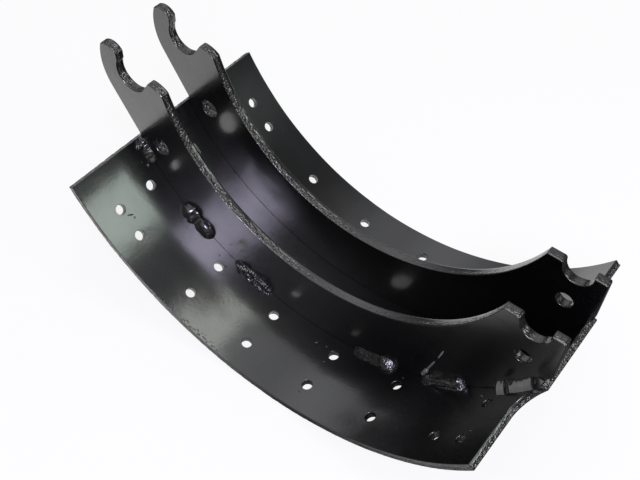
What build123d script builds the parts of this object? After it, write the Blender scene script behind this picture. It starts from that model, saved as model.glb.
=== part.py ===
from build123d import *
import os
from math import acos, atan2, cos, dist, radians, sin, sqrt

# Bare brake shoe for a 16.5 x 7 inch S-cam drum brake: a rolled table carries two blanked
# webs, and stitch welds hold each web along its outer side.
#
# Frame: +Y runs along the drum's axis, +X from the anchor end to the cam end, and +Z up, with
# the shoe lying on its convex back. The origin is the centre of the anchor pin's seat, midway
# between the webs. Everything is drawn about the drum's axis and moved there at the end.
# Angles are in degrees about the drum's axis, from straight down, positive towards +X.

# Table: a flat strip with a tongue at the cam end, pierced and then rolled
TABLE_WIDTH = 177.8
TABLE_THICKNESS = 4.8
TABLE_OUTER_R = 186.5
TABLE_START = -58.6
FLANGE_END = 55.75
TONGUE_END = 61.0
TONGUE_HALF_WIDTH = 30.0
TONGUE_ROOT_R = 19.0

# Rivet holes for the lining blocks: an outer row along each edge, an inner row by each web
RIVET_HOLE_R = 3.4
OUTER_ROW_Y = 69.0
INNER_ROW_Y = 40.0
RIVET_PITCH = 16.6
RIVET_LAST_STEP = 6.9

# Locating holes on the table's centre line, between the webs
LOCATING_HOLE_R = 7.75
LOCATING_ANGLES = (-48.4, 8.3)

# Webs: two like blanks of quarter-inch plate
WEB_THICKNESS = 6.35
WEB_GAP = 42.0
WEB_INNER_R = 133.2

# Anchor end of a web: a hook that reaches round the anchor pin. Places are (x, z).
ANCHOR_SEAT = (-153.6, -40.0)
ANCHOR_SEAT_R = 12.0
HOOK_ROOT_ANGLE = -57.7
HOOK_HEEL = (-154.0, -91.0)
HOOK_SHOULDER = (-174.2, -59.8)
HOOK_TIP = (-178.3, -26.5)
HOOK_CROWN = (-172.0, -24.6)
HOOK_LIP = (-164.3, -29.0)
NOSE_START = (-138.6, -38.9)
NOSE_CROWN = (-132.2, -39.8)
NOSE_END_ANGLE = -71.2
SPRING_HOLE = (-134.3, -91.8)
SPRING_HOLE_R = 6.75

# Cam end of a web: a seat for the cam roller's journal between two flat lands
ROLLER_SEAT = (144.0, -51.2)
ROLLER_SEAT_R = 9.5
LAND_Z = -49.2
CAM_END_X = 162.0
RETAINER_HOLE = (142.5, -78.7)
RETAINER_HOLE_R = 5.5

# Corners that the blanking die leaves rounded
HEEL_CORNER_R = 6.0
NOSE_CORNER_R = 1.5
SEAT_CORNER_R = 2.0
END_CORNER_R = 1.5

# Stitch welds in the corner between a web's outer face and the table. Each stitch is one or
# more overlapping passes: (first angle, last angle, leg). The ends of a pass slope in by a
# share of the height.
STITCHES = (
    ((-58.6, -53.4, 5.6), (-55.4, -51.4, 4.4)),
    ((-41.0, -35.4, 6.8), (-36.2, -30.2, 6.4)),
    ((-23.4, -17.6, 6.2), (-18.4, -12.0, 5.6)),
    ((10.6, 18.4, 5.4), (16.6, 22.2, 6.0)),
    ((28.5, 34.4, 6.4), (33.6, 40.2, 6.0)),
    ((48.2, 53.8, 6.6), (51.4, 58.2, 5.0), (57.0, 60.8, 2.6)),
)
BEAD_SINK = 2.0
BEAD_SLOPE = 0.5

TABLE_INNER_R = TABLE_OUTER_R - TABLE_THICKNESS
WEB_OUTER_Y = WEB_GAP / 2 + WEB_THICKNESS
DRUM_AXIS = Axis((0, 0, 0), (0, -1, 0))
TO_ANCHOR_SEAT = Pos(-ANCHOR_SEAT[0], 0, -ANCHOR_SEAT[1])


def polar(radius, angle):
    """Return the (x, z) place at a radius and an angle about the drum's axis."""
    return (radius * sin(radians(angle)), -radius * cos(radians(angle)))


def at_height(radius, z):
    """Return how far along x a circle about the drum's axis is at a height z."""
    return sqrt(radius**2 - z**2)


def touching_place(centre, radius, place):
    """Return where a line from a place touches the lower side of a circle."""
    towards_place = atan2(place[1] - centre[1], place[0] - centre[0])
    angle = towards_place - acos(radius / dist(centre, place))
    return (centre[0] + radius * cos(angle), centre[1] + radius * sin(angle))


def table_frame(angle):
    """Return a frame on the table's back: x towards the cam end, z square out of the back."""
    x, z = polar(TABLE_OUTER_R, angle)
    towards_cam = (cos(radians(angle)), 0, sin(radians(angle)))
    return Plane(origin=(x, 0, z), x_dir=towards_cam, z_dir=(x, 0, z))


def rolled_strip():
    """Return the table at its full width, from the anchor end to the tongue's end."""
    first = TABLE_START - 90
    sweep = TONGUE_END - TABLE_START
    with BuildSketch(Plane.XZ) as section:
        with BuildLine():
            back = CenterArc((0, 0), TABLE_OUTER_R, first, sweep)
            face = CenterArc((0, 0), TABLE_INNER_R, first, sweep)
            Line(back @ 0, face @ 0)
            Line(back @ 1, face @ 1)
        make_face()
    return extrude(section.sketch, TABLE_WIDTH / 2, both=True)


def tongue_notch():
    """Return what is sheared off beside the tongue, with a round root at the flange's end."""
    root_centre = (TONGUE_ROOT_R, TONGUE_HALF_WIDTH + TONGUE_ROOT_R)
    past_end = 2 * TONGUE_ROOT_R
    past_edge = TABLE_WIDTH
    corners = ((0, past_edge), (past_end, past_edge), (past_end, TONGUE_HALF_WIDTH))
    with BuildSketch(table_frame(FLANGE_END)) as notch:
        with BuildLine():
            root = CenterArc(root_centre, TONGUE_ROOT_R, 180, 90)
            Polyline(root @ 0, *corners, root @ 1)
        make_face()
    return extrude(notch.sketch, 2 * TABLE_THICKNESS, both=True)


def table_drills():
    """Return a drill for every hole in the table."""
    long_enough = 4 * TABLE_THICKNESS
    both_rows = (INNER_ROW_Y, OUTER_ROW_Y)
    columns = (
        (0.5 * RIVET_PITCH, both_rows),
        (1.5 * RIVET_PITCH, both_rows),
        (2.5 * RIVET_PITCH, (OUTER_ROW_Y,)),
        (2.5 * RIVET_PITCH + RIVET_LAST_STEP, both_rows),
    )
    rivet_drill = Cylinder(RIVET_HOLE_R, long_enough)
    locating_drill = Cylinder(LOCATING_HOLE_R, long_enough)
    drills = [table_frame(angle) * locating_drill for angle in LOCATING_ANGLES]
    for column_angle, rows in columns:
        for angle in (-column_angle, column_angle):
            for row in rows:
                drills.append(table_frame(angle) * Pos(0, -row, 0) * rivet_drill)
                drills.append(table_frame(angle) * Pos(0, row, 0) * rivet_drill)
    return drills


def make_table():
    """Return the rolled table with its tongue and its holes."""
    notch = tongue_notch()
    return rolled_strip() - notch - mirror(notch, about=Plane.XZ) - table_drills()


def draw_hook():
    """Draw the anchor end, and return its root on the table and its end on the inner edge."""
    seat_x, seat_z = ANCHOR_SEAT
    lip_x = HOOK_LIP[0]
    wall_foot = (lip_x, seat_z + sqrt(ANCHOR_SEAT_R**2 - (lip_x - seat_x) ** 2))
    seat_end = touching_place(ANCHOR_SEAT, ANCHOR_SEAT_R, NOSE_START)
    root = polar(TABLE_INNER_R, HOOK_ROOT_ANGLE)
    nose_end = polar(WEB_INNER_R, NOSE_END_ANGLE)
    Line(root, HOOK_HEEL)
    back = Line(HOOK_HEEL, HOOK_SHOULDER)
    TangentArc(HOOK_SHOULDER, HOOK_TIP, tangent=back % 1)
    ThreePointArc(HOOK_TIP, HOOK_CROWN, HOOK_LIP)
    Line(HOOK_LIP, wall_foot)
    ThreePointArc(wall_foot, (seat_x, seat_z - ANCHOR_SEAT_R), seat_end)
    Line(seat_end, NOSE_START)
    ThreePointArc(NOSE_START, NOSE_CROWN, nose_end)
    return root, nose_end


def draw_cam_end():
    """Draw the cam end, and return its start on the inner edge and its foot on the table."""
    seat_x, seat_z = ROLLER_SEAT
    half_mouth = sqrt(ROLLER_SEAT_R**2 - (LAND_Z - seat_z) ** 2)
    land_start = (at_height(WEB_INNER_R, LAND_Z), LAND_Z)
    mouth_start = (seat_x - half_mouth, LAND_Z)
    mouth_end = (seat_x + half_mouth, LAND_Z)
    foot = (CAM_END_X, -at_height(TABLE_INNER_R, CAM_END_X))
    Line(land_start, mouth_start)
    ThreePointArc(mouth_start, (seat_x, seat_z - ROLLER_SEAT_R), mouth_end)
    Polyline(mouth_end, (CAM_END_X, LAND_Z), foot)
    return land_start, foot


def round_corner(sketch, place, radius):
    """Round the corner of the sketch that is nearest to an (x, z) place."""
    corner = sketch.vertices().sort_by_distance(place)[0]
    fillet(corner, radius)


def make_web():
    """Return the web on the -Y side: a curved blank with a hook and a roller's seat."""
    with BuildSketch(Plane.XZ) as blank:
        with BuildLine():
            root, nose_end = draw_hook()
            land_start, foot = draw_cam_end()
            ThreePointArc(nose_end, polar(WEB_INNER_R, 0), land_start)
            ThreePointArc(foot, polar(TABLE_INNER_R, 0), root)
        make_face()
        round_corner(blank, HOOK_HEEL, HEEL_CORNER_R)
        round_corner(blank, NOSE_START, NOSE_CORNER_R)
        round_corner(blank, (ROLLER_SEAT[0] - ROLLER_SEAT_R, LAND_Z), SEAT_CORNER_R)
        round_corner(blank, (CAM_END_X, LAND_Z), END_CORNER_R)
        with Locations(SPRING_HOLE):
            Circle(SPRING_HOLE_R, mode=Mode.SUBTRACT)
        with Locations(RETAINER_HOLE):
            Circle(RETAINER_HOLE_R, mode=Mode.SUBTRACT)
    return Pos(0, -WEB_GAP / 2, 0) * extrude(blank.sketch, WEB_THICKNESS)


def weld_pass(first, last, leg):
    """Return a bar with a flat side on the web and a round face: one pass before it is seated.

    The round face's axis lies a little inside the metal on both sides, so that the part left in
    the corner reaches along each side by the leg and is flatter than a quarter round.
    """
    bead_r = sqrt((leg + BEAD_SINK) ** 2 + BEAD_SINK**2)
    outside_web = Pos(-bead_r - BEAD_SINK, 0) * Rectangle(2 * bead_r, 2 * bead_r)
    section = Plane.YZ * (Circle(bead_r) & outside_web)
    foot = TABLE_INNER_R * radians(last - first) / 2 + BEAD_SLOPE * (bead_r + BEAD_SINK)
    crown = foot - 2 * BEAD_SLOPE * bead_r
    side_view = ((-foot, -bead_r), (foot, -bead_r), (crown, bead_r), (-crown, bead_r))
    ends = extrude(make_face(Plane.XZ * Polyline(*side_view, close=True)), 2 * bead_r, both=True)
    bar = extrude(section, foot, both=True) & ends
    bar = Pos(0, BEAD_SINK - WEB_OUTER_Y, -TABLE_INNER_R - BEAD_SINK) * bar
    return bar.rotate(DRUM_AXIS, (first + last) / 2)


def make_stitch(passes):
    """Return one stitch weld on the -Y side, seated against the web and the table."""
    inside_table = Rot(90, 0, 0) * Cylinder(TABLE_INNER_R, TABLE_WIDTH)
    bead = weld_pass(*passes[0]) & inside_table
    for later_pass in passes[1:]:
        bead += weld_pass(*later_pass) & inside_table
    return bead


def write_step(shape, name):
    """Move a shape to the shoe's own frame and write it as one node."""
    export_step(TO_ANCHOR_SEAT * shape, f"parts/{name}.step")


def main():
    """Build every piece of the shoe and write it."""
    os.makedirs("parts", exist_ok=True)
    write_step(make_table(), "table")
    web = make_web()
    write_step(web, "front_web")
    write_step(mirror(web, about=Plane.XZ), "back_web")
    for number, passes in enumerate(STITCHES, start=1):
        stitch = make_stitch(passes)
        write_step(stitch, f"front_weld_{number}")
        write_step(mirror(stitch, about=Plane.XZ), f"back_weld_{number}")


if __name__ == "__main__":
    main()
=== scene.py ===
"""Looks of a bare S-cam brake shoe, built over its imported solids.

The shoe is a rolled table with two blanked webs, stitch-welded to it on their outer sides, all
dipped in gloss black enamel. Every solid of the frame is replaced by a finished surface in the
same place. Lengths are in metres. The origin is the centre of the anchor pin's seat, +Y runs
along the drum's axis, +X from the anchor end to the cam end, and +Z up.
"""

import logging
from dataclasses import dataclass, field
from enum import Enum
from functools import partial
from typing import Callable

import bpy
import numpy as np
from bpy.types import Material, Node, NodeSocket, NodeTree, Object, World
from mathutils import Matrix, Vector
from mathutils.geometry import delaunay_2d_cdt


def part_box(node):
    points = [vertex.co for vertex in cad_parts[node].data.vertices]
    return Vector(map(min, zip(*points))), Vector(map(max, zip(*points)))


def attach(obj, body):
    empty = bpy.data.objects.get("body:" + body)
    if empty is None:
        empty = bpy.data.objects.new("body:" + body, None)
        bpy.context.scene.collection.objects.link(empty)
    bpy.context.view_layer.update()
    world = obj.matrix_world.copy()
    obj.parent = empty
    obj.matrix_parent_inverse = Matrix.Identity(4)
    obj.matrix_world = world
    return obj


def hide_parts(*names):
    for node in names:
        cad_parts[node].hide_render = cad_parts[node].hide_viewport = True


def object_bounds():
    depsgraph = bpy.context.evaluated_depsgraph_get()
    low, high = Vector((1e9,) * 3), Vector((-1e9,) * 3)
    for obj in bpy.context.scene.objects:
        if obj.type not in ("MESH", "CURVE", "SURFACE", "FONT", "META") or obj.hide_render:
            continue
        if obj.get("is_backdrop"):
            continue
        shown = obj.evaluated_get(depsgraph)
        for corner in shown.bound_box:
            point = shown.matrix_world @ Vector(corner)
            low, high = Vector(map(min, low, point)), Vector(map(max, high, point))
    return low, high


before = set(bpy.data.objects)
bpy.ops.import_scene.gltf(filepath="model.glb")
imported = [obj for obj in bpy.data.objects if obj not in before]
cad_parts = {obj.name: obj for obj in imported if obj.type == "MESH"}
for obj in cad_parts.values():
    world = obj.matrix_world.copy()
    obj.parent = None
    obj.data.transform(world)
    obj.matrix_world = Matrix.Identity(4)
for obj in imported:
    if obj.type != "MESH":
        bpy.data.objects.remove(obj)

Pair = tuple[float, float]
Point = tuple[float, float, float]
Quad = tuple[float, float, float, float]

MM = 0.001
ALL_TRIANGLES = 0
NOISE_WAVES = 28
STREAK_SEED, RIDGE_SEED, GRIT_SEED = 9, 31, 77
PATCH_LIMITS = (0.35, 0.65)
LIMITS = ("Value", "From Min", "From Max", "To Min", "To Max")
WHITE = (1.0, 1.0, 1.0, 1.0)
SHOE_MIDDLE = (0.10, 0.0, -0.08)
log = logging.getLogger("brake_shoe")


# ----------------------------------------------------------------------------- plane outlines


def lengths_along(points: np.ndarray) -> np.ndarray:
    """Running length of a closed outline at each of its points.

    Args:
        points: Outline points, one row each, not repeated at the end.

    Returns:
        The sum of the steps before each point, which is zero at the first one.
    """
    steps = np.linalg.norm(np.roll(points, -1, axis=0) - points, axis=1)
    return np.concatenate(([0.0], np.cumsum(steps)[:-1]))


@dataclass(frozen=True)
class Pen:
    """Draws runs of points whose steps are no wider than its spacing.

    Every run but a rounded corner stops short of its end, so that the next run can start there.
    """

    spacing: float

    def line(self, start: tuple, end: tuple) -> np.ndarray:
        """Draw a straight run: the start plus an even share of the step to the end.

        Args:
            start: First point.
            end: Point where the run ends.

        Returns:
            The run's points.
        """
        start, end = np.asarray(start, float), np.asarray(end, float)
        count = max(1, int(np.ceil(np.linalg.norm(end - start) / self.spacing)))
        share = np.arange(count)[:, None] / count
        return start + share * (end - start)

    def arc(self, centre: tuple, radius: float, first: float, last: float) -> np.ndarray:
        """Draw an arc: the centre plus the radius times the cosine and sine of even angles.

        Args:
            centre: Centre of the circle.
            radius: Radius of the circle.
            first: Angle where the arc starts, in radians.
            last: Angle where it ends, in radians.

        Returns:
            The arc's points.
        """
        count = max(2, int(np.ceil(abs(last - first) * radius / self.spacing)))
        angle = first + (last - first) * np.arange(count) / count
        return np.asarray(centre) + radius * np.stack((np.cos(angle), np.sin(angle)), axis=1)

    def short_arc(self, centre: tuple, radius: float, start: tuple, end: tuple) -> np.ndarray:
        """Draw the shorter of the two arcs about a centre between two points.

        Args:
            centre: Centre of the circle.
            radius: Radius of the circle.
            start: First point.
            end: Point where the arc ends.

        Returns:
            The arc's points.
        """
        first, last = (np.arctan2(*(place - centre)[::-1]) for place in (start, end))
        turn = (last - first + np.pi) % (2 * np.pi) - np.pi
        return self.arc(centre, radius, first, first + turn)

    def arc_through(self, start: tuple, middle: tuple, end: tuple) -> np.ndarray:
        """Draw an arc about the place that is equally far from three points.

        Args:
            start: First point.
            middle: Any point between.
            end: Point where the arc ends.

        Returns:
            The arc's points.
        """
        a, b, c = (np.asarray(place, float) for place in (start, middle, end))
        sides = 2 * np.stack((b - a, c - a))
        centre = np.linalg.solve(sides, np.array((b @ b - a @ a, c @ c - a @ a)))
        first, halfway, last = (np.arctan2(*(place - centre)[::-1]) for place in (a, b, c))
        turn = (last - first) % (2 * np.pi)
        if (halfway - first) % (2 * np.pi) > turn:
            turn -= 2 * np.pi
        return self.arc(centre, np.linalg.norm(a - centre), first, first + turn)

    def tangent_arc(self, start: tuple, heading: np.ndarray, end: tuple) -> np.ndarray:
        """Draw an arc that leaves its start along a heading and meets its end.

        The centre lies square to the heading from the start, as far from it as from the end.

        Args:
            start: First point.
            heading: Direction of travel at the start.
            end: Point where the arc ends.

        Returns:
            The arc's points.
        """
        start, end = np.asarray(start, float), np.asarray(end, float)
        square = np.array((-heading[1], heading[0])) / np.linalg.norm(heading)
        chord = end - start
        reach = (chord @ chord) / (2 * chord @ square)
        return self.short_arc(start + reach * square, abs(reach), start, end)

    def rounded(self, before: tuple, corner: tuple, after: tuple, radius: float) -> np.ndarray:
        """Round a corner by an arc tangent to both sides, centred on the line that halves them.

        Args:
            before: A point on the side that leads in.
            corner: The sharp corner.
            after: A point on the side that leads out.
            radius: Radius of the rounding.

        Returns:
            The arc's points, both ends included.
        """
        corner = np.asarray(corner, float)
        sides = (np.asarray(point) - corner for point in (before, after))
        back, ahead = (side / np.linalg.norm(side) for side in sides)
        half = np.arccos(np.clip(back @ ahead, -1, 1)) / 2
        centre = corner + (back + ahead) / np.linalg.norm(back + ahead) * radius / np.sin(half)
        start, end = (corner + side * radius / np.tan(half) for side in (back, ahead))
        return np.vstack((self.short_arc(centre, radius, start, end), end))


def signed_area(points: np.ndarray) -> float:
    """Area inside a closed outline, positive where it runs anticlockwise (shoelace formula)."""
    ahead = np.roll(points, -1, axis=0)
    return float(np.sum(points[:, 0] * ahead[:, 1] - ahead[:, 0] * points[:, 1]) / 2)


def circle(centre: tuple, radius: float, count: int) -> np.ndarray:
    """A hole's outline: a circle of evenly spaced points that runs clockwise."""
    angle = -2 * np.pi * np.arange(count) / count
    return np.asarray(centre) + radius * np.stack((np.cos(angle), np.sin(angle)), axis=1)


def roughness_noise(places: np.ndarray, grain: float, seed: int) -> np.ndarray:
    """Uneven surface heights: a sum of plane waves in seeded directions, lengths and phases.

    Args:
        places: Points, one row each.
        grain: Usual distance from one bump to the next.
        seed: Number that the random choices start from.

    Returns:
        One height for each point, about one unit high (root mean square).
    """
    rng = np.random.default_rng(seed)
    heading = rng.normal(size=(NOISE_WAVES, places.shape[1]))
    heading /= np.linalg.norm(heading, axis=1, keepdims=True)
    length = grain * rng.uniform(0.6, 1.9, NOISE_WAVES)
    phase = rng.uniform(0, 2 * np.pi, NOISE_WAVES)
    waves = np.sin(2 * np.pi * (places @ heading.T) / length + phase)
    return waves.sum(axis=1) * np.sqrt(2 / NOISE_WAVES)


def ring_turns(count: int) -> np.ndarray:
    """Evenly spaced angles once round a ring, as a row."""
    return (2 * np.pi * np.arange(count) / count)[None, :]


# ------------------------------------------------------------------------------------- meshes


def signed_volume(vertices: np.ndarray, faces: list[np.ndarray]) -> float:
    """Volume inside closed faces, positive where they point outwards.

    Each face is cut into triangles from its first corner, and each triangle adds the sixth of
    the triple product of its corners.

    Args:
        vertices: Points of the mesh.
        faces: Arrays of vertex numbers, one for each count of corners.

    Returns:
        The volume.
    """
    total = 0.0
    for group in faces:
        for last in range(2, group.shape[1]):
            a, b, c = (vertices[group[:, corner]] for corner in (0, last - 1, last))
            total += float(np.einsum("ij,ij->", a, np.cross(b, c))) / 6
    return total


def make_object(name: str, vertices: np.ndarray, faces: list[np.ndarray]) -> Object:
    """Put arrays into a smooth-shaded mesh object whose faces point outwards.

    Args:
        name: Name of the object and its mesh.
        vertices: Points of the mesh, in metres.
        faces: Arrays of vertex numbers, one for each count of corners.

    Returns:
        The object, linked to the scene at the origin.
    """
    if signed_volume(vertices, faces) < 0:
        faces = [group[:, ::-1] for group in faces]
    mesh = bpy.data.meshes.new(name)
    mesh.from_pydata(vertices.tolist(), [], [row for group in faces for row in group.tolist()])
    mesh.polygons.foreach_set("use_smooth", np.ones(len(mesh.polygons), bool))
    mesh.update()
    piece = bpy.data.objects.new(name, mesh)
    bpy.context.scene.collection.objects.link(piece)
    return piece


def set_attribute(piece: Object, name: str, values: np.ndarray) -> None:
    """Give every vertex of a piece a number that its material can read."""
    layer = piece.data.attributes.new(name, "FLOAT", "POINT")
    layer.data.foreach_set("value", values.astype(np.float32))


def grid_faces(rows: int, columns: int) -> np.ndarray:
    """Quads of a grid whose columns close on themselves, so that each row is a ring.

    Args:
        rows: Number of rings.
        columns: Number of points in a ring.

    Returns:
        Vertex numbers of the quads, where row r and column c is vertex r * columns + c.
    """
    row, column = np.meshgrid(np.arange(rows - 1), np.arange(columns), indexing="ij")
    start = (row * columns + column).ravel()
    beside = (row * columns + (column + 1) % columns).ravel()
    return np.stack((start, beside, beside + columns, start + columns), axis=1)


def capped_tube(rings: np.ndarray, first_pole: np.ndarray, last_pole: np.ndarray) -> tuple:
    """Close a stack of rings with a fan of triangles to a pole at either end.

    Args:
        rings: Points of the rings, shaped (rings, points in a ring, 3).
        first_pole: Point that closes the first ring.
        last_pole: Point that closes the last ring.

    Returns:
        The vertices and the list of face arrays.
    """
    count, around = rings.shape[:2]
    vertices = np.vstack((rings.reshape(-1, 3), first_pole, last_pole))
    here = np.arange(around)
    beside = (here + 1) % around
    last = (count - 1) * around
    first_fan = np.stack((beside, here, np.full(around, count * around)), axis=1)
    last_fan = np.stack((last + here, last + beside, np.full(around, count * around + 1)), axis=1)
    return vertices, [grid_faces(count, around), first_fan, last_fan]


def join_parts(parts: list[tuple]) -> tuple:
    """Join vertex and face arrays into one set, by moving each part's vertex numbers on.

    Args:
        parts: Pairs of vertices and face arrays.

    Returns:
        The joined vertices and the list of face arrays.
    """
    vertices, faces, offset = [], [], 0
    for part_vertices, part_faces in parts:
        vertices.append(part_vertices)
        faces.extend(group + offset for group in part_faces)
        offset += len(part_vertices)
    return np.vstack(vertices), faces


# ----------------------------------------------------------------------------------- finishes


def linear_colour(colour: str) -> Quad:
    """Turn an sRGB hex colour into linear red, green, blue and a full alpha."""
    parts = np.array([int(colour[place : place + 2], 16) for place in (1, 3, 5)]) / 255
    low, high = parts / 12.92, ((parts + 0.055) / 1.055) ** 2.4
    return (*np.where(parts <= 0.04045, low, high).tolist(), 1.0)


def add_node(tree: NodeTree, kind: str, inputs: dict, **settings: object) -> Node:
    """Add a node with its settings, its values and its links.

    Args:
        tree: Node tree that takes the node.
        kind: Blender's name for the kind of node.
        inputs: Socket name or number, with the value or the output socket that it takes.
        settings: Properties of the node itself.

    Returns:
        The new node.
    """
    node = tree.nodes.new(kind)
    for setting, value in settings.items():
        setattr(node, setting, value)
    for socket, value in inputs.items():
        if isinstance(value, NodeSocket):
            tree.links.new(value, node.inputs[socket])
        else:
            node.inputs[socket].default_value = value
    return node


def waves_per_metre(size_mm: float) -> float:
    """Scale of a noise texture whose features are a given size in millimetres."""
    return 1 / (size_mm * MM)


def clear_tree(owner: Material | World) -> Callable[..., Node]:
    """Empty a material's or a world's node tree, and bind the node-adding function to it."""
    owner.use_nodes = True
    owner.node_tree.nodes.clear()
    return partial(add_node, owner.node_tree)


def new_finish(name: str) -> tuple:
    """Start a material: it, its node-adding function and the socket of the Object coordinates."""
    material = bpy.data.materials.new(name)
    add = clear_tree(material)
    return material, add, add("ShaderNodeTexCoord", {}).outputs["Object"]


@dataclass(frozen=True)
class DippedEnamel:
    """Black stoving enamel that a steel part was dipped in.

    On flat plate it flows out to a mirror with a soft haze, a slight orange peel and the long
    waves of the rolled plate under it. It draws thin over sheared edges, where the torn steel
    shows through it as sparkle with a warm cast.
    """

    name: str = "black_stoving_enamel"
    colour: str = "#050506"
    thin_colour: str = "#241d19"
    haze: float = 0.34
    haze_spread: float = 0.05
    haze_share: float = 0.26
    gloss: float = 0.17
    ior: float = 1.5
    coat_ior: float = 1.66
    patch_mm: float = 38.0
    wave_mm: float = 26.0
    wave_height_mm: float = 0.35
    peel_mm: float = 2.6
    peel_height_mm: float = 0.03
    tear_mm: float = 1.7
    tear_height_mm: float = 1.6
    dust_mm: float = 1.3
    dust_limits: Pair = (0.62, 0.72)
    dust_haze: float = 0.25

    def build(self) -> Material:
        """Make the material.

        Returns:
            The material, which reads Object coordinates and the attribute "sheared".
        """
        material, add, place = new_finish(self.name)
        sheared = add("ShaderNodeAttribute", {}, attribute_name="sheared").outputs["Fac"]
        patches, wave, peel, tear, dust = (
            add(
                "ShaderNodeTexNoise",
                {"Vector": place, "Scale": waves_per_metre(size_mm), "Detail": detail},
            ).outputs["Fac"]
            for size_mm, detail in (
                (self.patch_mm, 3.0),
                (self.wave_mm, 1.0),
                (self.peel_mm, 2.0),
                (self.tear_mm, 1.0),
                (self.dust_mm, 2.0),
            )
        )
        colour = add(
            "ShaderNodeMix",
            {
                "Factor": sheared,
                "A": linear_colour(self.colour),
                "B": linear_colour(self.thin_colour),
            },
            data_type="RGBA",
        )
        haze, specks = (
            add(
                "ShaderNodeMapRange", dict(zip(LIMITS, (value, first, last, low, high)))
            ).outputs["Result"]
            for value, (first, last), low, high in (
                (patches, PATCH_LIMITS, self.haze - self.haze_spread, self.haze + self.haze_spread),
                (dust, self.dust_limits, 0.0, self.dust_haze),
            )
        )
        rough = add("ShaderNodeMath", {0: specks, 1: haze}, operation="ADD")
        under = {}
        for height, depth_mm, strength in (
            (wave, self.wave_height_mm, 1.0),
            (peel, self.peel_height_mm, 1.0),
            (tear, self.tear_height_mm, sheared),
        ):
            bump = add(
                "ShaderNodeBump",
                {"Height": height, "Distance": depth_mm * MM, "Strength": strength, **under},
            )
            under = {"Normal": bump.outputs["Normal"]}
        shader = add(
            "ShaderNodeBsdfPrincipled",
            {
                "Base Color": colour.outputs["Result"],
                "Roughness": rough.outputs[0],
                "IOR": self.ior,
                "Specular IOR Level": self.haze_share,
                "Coat Weight": 1.0,
                "Coat Roughness": self.gloss,
                "Coat IOR": self.coat_ior,
                "Coat Normal": bump.outputs["Normal"],
                **under,
            },
        )
        add("ShaderNodeOutputMaterial", {"Surface": shader.outputs["BSDF"]})
        return material


@dataclass(frozen=True)
class EnamelOnWeld:
    """The same enamel over weld metal, whose ripples and spatter break it into glints."""

    name: str = "black_enamel_on_weld_metal"
    colour: str = "#0a0a0b"
    warm_colour: str = "#12100f"
    haze: float = 0.30
    haze_spread: Pair = (-0.08, 0.12)
    haze_share: float = 0.4
    gloss: float = 0.05
    ior: float = 1.5
    coat_ior: float = 1.7
    patch_mm: float = 5.0
    grit_mm: float = 1.7
    grit_height_mm: float = 0.9

    def build(self) -> Material:
        """Make the material.

        Returns:
            The material, which reads Object coordinates and the attribute "grit".
        """
        material, add, place = new_finish(self.name)
        grit = add("ShaderNodeAttribute", {}, attribute_name="grit").outputs["Fac"]
        grains, patches = (
            add(
                "ShaderNodeTexNoise",
                {"Vector": place, "Scale": waves_per_metre(size_mm), "Detail": detail},
            ).outputs["Fac"]
            for size_mm, detail in ((self.grit_mm, 1.5), (self.patch_mm, 2.0))
        )
        first, last = PATCH_LIMITS
        low, high = (self.haze + spread for spread in self.haze_spread)
        haze = add("ShaderNodeMapRange", dict(zip(LIMITS, (patches, first, last, low, high))))
        colour = add(
            "ShaderNodeMix",
            {
                "Factor": patches,
                "A": linear_colour(self.colour),
                "B": linear_colour(self.warm_colour),
            },
            data_type="RGBA",
        )
        bump = add(
            "ShaderNodeBump",
            {"Height": grains, "Distance": self.grit_height_mm * MM, "Strength": grit},
        )
        shader = add(
            "ShaderNodeBsdfPrincipled",
            {
                "Base Color": colour.outputs["Result"],
                "Roughness": haze.outputs["Result"],
                "IOR": self.ior,
                "Specular IOR Level": self.haze_share,
                "Coat Weight": 1.0,
                "Coat Roughness": self.gloss,
                "Coat IOR": self.coat_ior,
                "Normal": bump.outputs["Normal"],
                "Coat Normal": bump.outputs["Normal"],
            },
        )
        add("ShaderNodeOutputMaterial", {"Surface": shader.outputs["BSDF"]})
        return material


@dataclass(frozen=True)
class BurntWire:
    """Mild steel welding wire, burnt pale and thinly painted, which shows as a dull bright line."""

    name: str = "burnt_steel_wire"
    colour: str = "#a3a09b"
    soot: str = "#3c3936"
    roughness: float = 0.42
    metal: float = 0.3
    blotch_mm: float = 4.0
    blotch_height_mm: float = 0.2

    def build(self) -> Material:
        """Make the material.

        Returns:
            The material, which reads Object coordinates.
        """
        material, add, place = new_finish(self.name)
        blotches = add(
            "ShaderNodeTexNoise",
            {"Vector": place, "Scale": waves_per_metre(self.blotch_mm), "Detail": 2.0},
        ).outputs["Fac"]
        colour = add(
            "ShaderNodeMix",
            {"Factor": blotches, "A": linear_colour(self.colour), "B": linear_colour(self.soot)},
            data_type="RGBA",
        )
        bump = add("ShaderNodeBump", {"Height": blotches, "Distance": self.blotch_height_mm * MM})
        shader = add(
            "ShaderNodeBsdfPrincipled",
            {
                "Base Color": colour.outputs["Result"],
                "Metallic": self.metal,
                "Roughness": self.roughness,
                "Normal": bump.outputs["Normal"],
            },
        )
        add("ShaderNodeOutputMaterial", {"Surface": shader.outputs["BSDF"]})
        return material


# -------------------------------------------------------------------------------- steel plate


class Side(Enum):
    """Which side of the shoe a piece is on, as the sign of its y."""

    FRONT = -1
    BACK = 1

    @property
    def label(self) -> str:
        """The side's part in the names of nodes and pieces."""
        return self.name.lower()


@dataclass(frozen=True)
class DrumAxis:
    """The drum's axis, which the table and both webs are drawn about."""

    x: float = 153.6 * MM
    z: float = 40.0 * MM

    def polar(self, radius: np.ndarray | float, angle: np.ndarray | float) -> np.ndarray:
        """Find (x, z) at a radius and an angle from straight down, positive towards +X.

        Args:
            radius: Distance from the axis.
            angle: Angle in radians.

        Returns:
            The place in the frame, x and z along the last dimension.
        """
        return np.stack((self.x + radius * np.sin(angle), self.z - radius * np.cos(angle)), axis=-1)


AXIS = DrumAxis()


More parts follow.
